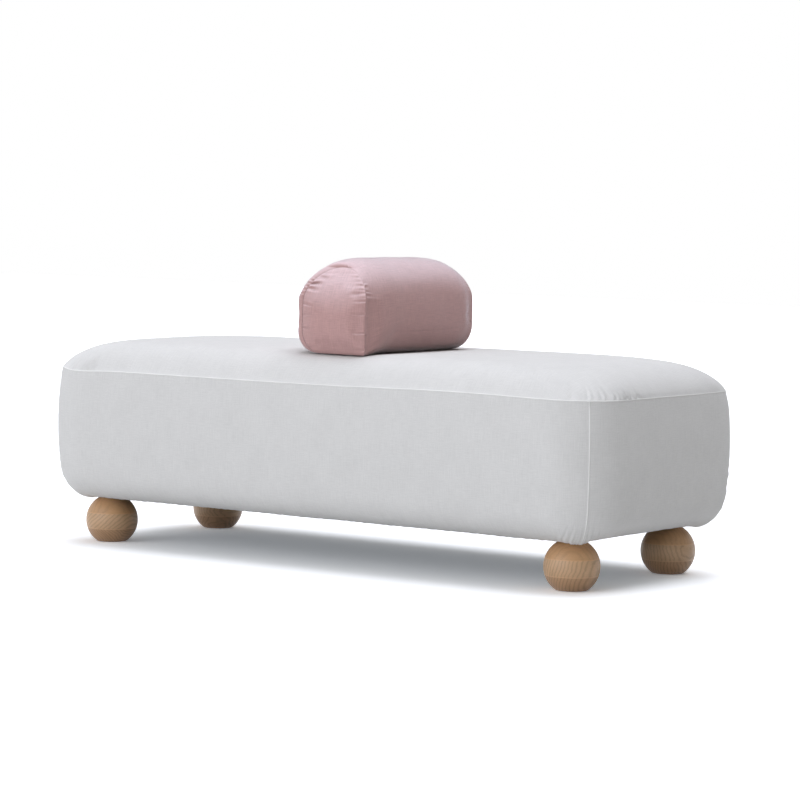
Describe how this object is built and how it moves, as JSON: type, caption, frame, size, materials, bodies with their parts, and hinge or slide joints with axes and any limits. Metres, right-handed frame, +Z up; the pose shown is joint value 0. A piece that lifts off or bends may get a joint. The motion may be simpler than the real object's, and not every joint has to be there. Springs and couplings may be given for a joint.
{
  "type": "backless divan",
  "caption": "Backless upholstered divan: rounded box body with a crowned seat panel, turned ball feet under the corners and a loose arched bolster lying across the seat.",
  "frame": {"origin": "on the floor, under the middle of the cover and midway between the four feet", "axes": "+X along the length, +Y from the front long side to the back one, +Z up"},
  "size_m": [1.5284, 0.6444, 0.6753],
  "materials": {
    "ply": "sanded plywood",
    "pine": "planed pine",
    "zinc_steel": "zinc plated",
    "oak": "satin oiled, laminated and turned",
    "glide_felt": "pressed felt",
    "webbing": "woven elastic strap",
    "deck_felt": "needled felt",
    "foam": "open-cell foam",
    "wadding": "fibre wadding",
    "cover_cloth": "matt slubbed linen-like weave",
    "dust_cloth": "matt non-woven cloth",
    "bolster_cloth": "brushed cloth with a soft sheen",
    "bolster_filling": "fibre filling"
  },
  "bodies": {
    "divan": {"rail_front": "ply", "rail_back": "ply", "rail_left_end": "ply", "rail_right_end": "ply", "cross_rail_left": "ply", "cross_rail_middle": "ply", "cross_rail_right": "ply", "corner_block_front_left": "pine", "corner_block_front_right": "pine", "corner_block_back_left": "pine", "corner_block_back_right": "pine", "corner_screws": "zinc_steel", "hanger_bolts": "zinc_steel", "threaded_inserts": "zinc_steel", "foot_front_left": "oak", "foot_front_right": "oak", "foot_back_left": "oak", "foot_back_right": "oak", "foot_glides": "glide_felt", "webbing_front_to_back": "webbing", "webbing_end_to_end": "webbing", "deck_felt": "deck_felt", "seat_foam": "foam", "border_pad_front": "foam", "border_pad_back": "foam", "border_pad_left": "foam", "border_pad_right": "foam", "crown_wadding": "wadding", "cover_front": "cover_cloth", "cover_back": "cover_cloth", "cover_left": "cover_cloth", "cover_right": "cover_cloth", "cover_seat": "cover_cloth", "dust_cover": "dust_cloth"},
    "bolster": {"bolster_wrap": "bolster_cloth", "bolster_end_panel_front": "bolster_cloth", "bolster_end_panel_back": "bolster_cloth", "bolster_core": "bolster_filling"}
  },
  "joints": [
    {"name": "bolster_lift", "type": "slide", "parent": "divan", "child": "bolster", "axis": [0, 0, 1], "range_m": [0, 0.25]}
  ]
}
